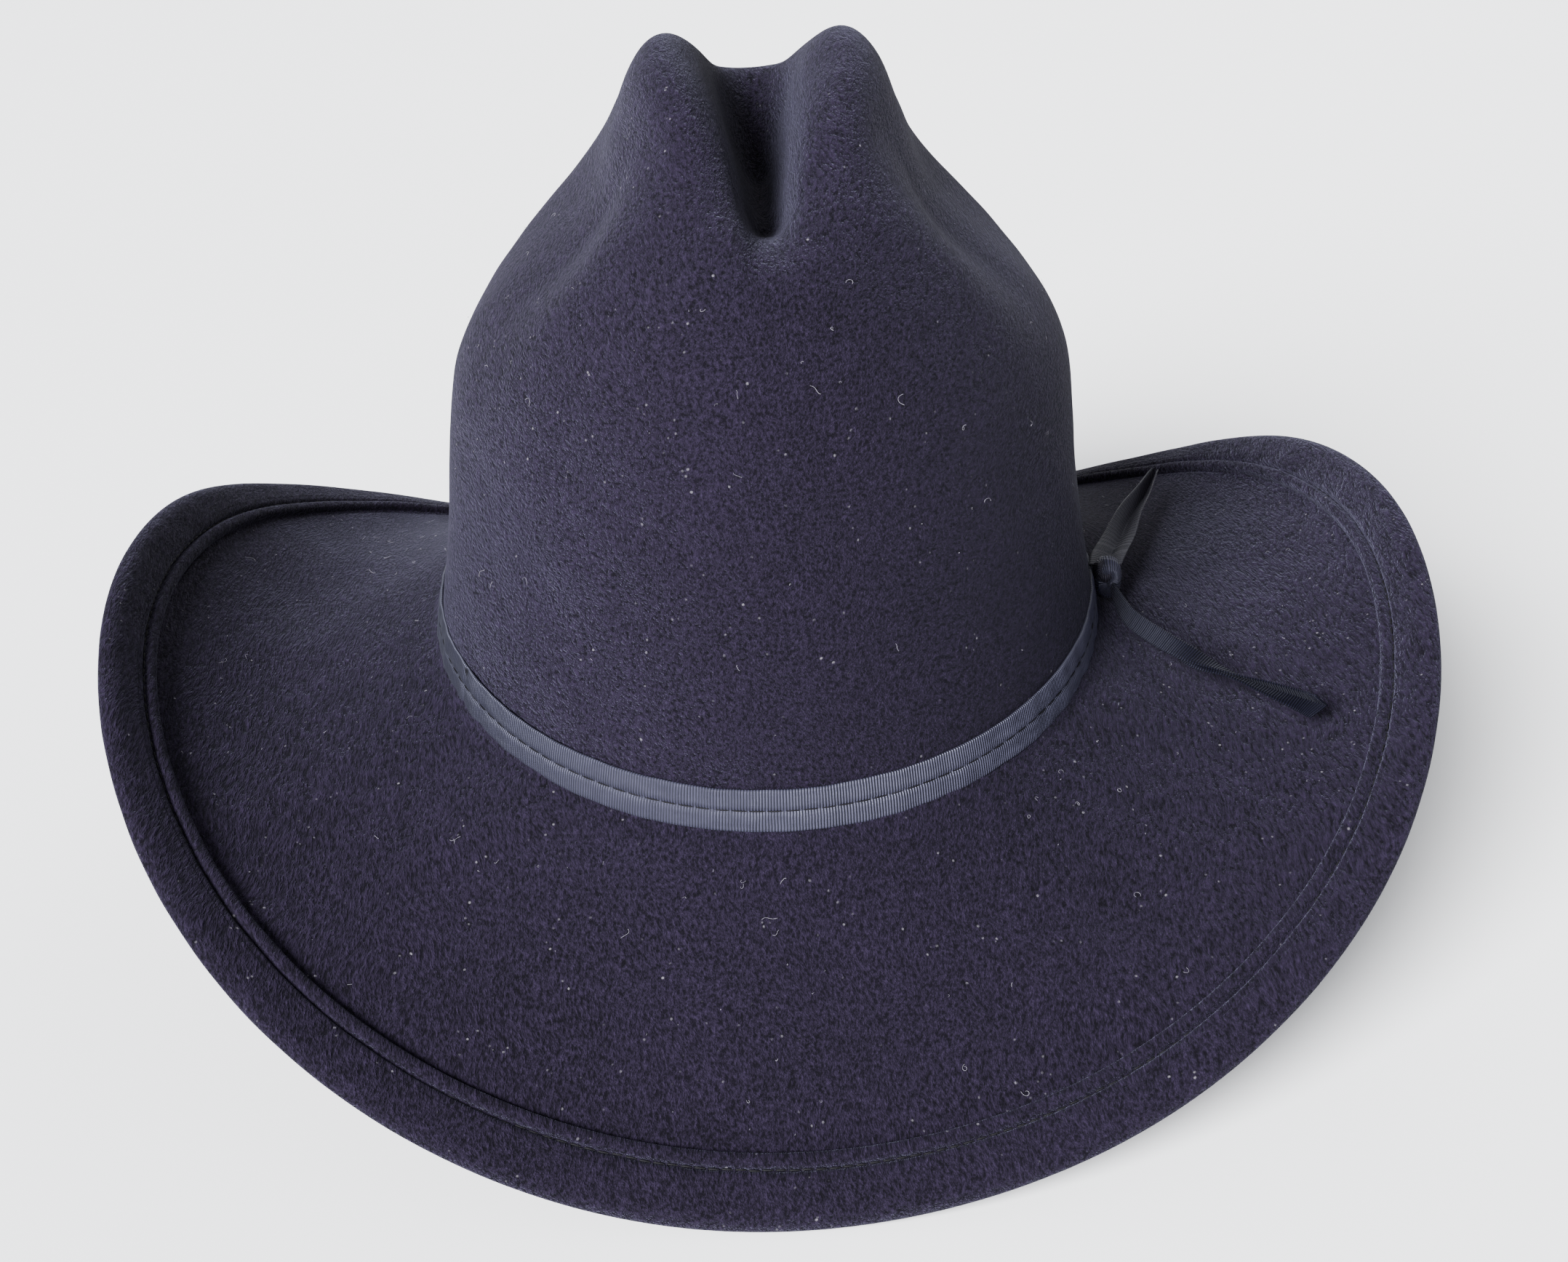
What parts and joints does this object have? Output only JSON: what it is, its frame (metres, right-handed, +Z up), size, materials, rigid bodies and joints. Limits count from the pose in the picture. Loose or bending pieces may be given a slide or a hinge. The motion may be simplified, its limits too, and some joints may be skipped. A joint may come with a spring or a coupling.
{
  "type": "western hat",
  "caption": "Felt western hat: creased crown, rolled brim with a stitched welt edge, knotted ribbon band with loose tails, leather sweatband and satin lining.",
  "frame": {"origin": "centre of the overall box at the height of the lowest points of the brim, where the hat stands", "axes": "+Z up through the crown, -Y to the wearer's front, +X to the wearer's left, the side with the ribbon knot"},
  "size_m": [0.3248, 0.336, 0.2082],
  "materials": {
    "felt": "matt brushed fur felt",
    "ribbon": "ribbed grosgrain",
    "thread": "twisted thread",
    "leather": "smooth satin leather",
    "reed": "plain plastic cord",
    "satin": "satin weave"
  },
  "bodies": {
    "hat": {"felt_body": "felt", "welt_stitching": "thread", "hat_band": "ribbon", "band_stitching": "thread", "band_tacks": "thread", "ribbon_knot": "ribbon", "sweatband": "leather", "sweatband_reed": "reed", "sweatband_stitching": "thread", "sweatband_seam": "thread", "sweatband_bow": "ribbon", "lining_side": "satin", "lining_piping": "satin", "lining_tip": "satin"},
    "tail_front": {"ribbon_tail_front": "ribbon"},
    "tail_back": {"ribbon_tail_back": "ribbon"}
  },
  "joints": [
    {"name": "tail_front_lift", "type": "hinge", "parent": "hat", "child": "tail_front", "pos_m": [0.0863, -0.0153, 0.0732], "axis": [-0.8, -0.6, 0], "range_deg": [0, 60]},
    {"name": "tail_back_lift", "type": "hinge", "parent": "hat", "child": "tail_back", "pos_m": [0.0863, -0.0153, 0.0732], "axis": [0.9326, -0.361, 0], "range_deg": [0, 60]}
  ]
}
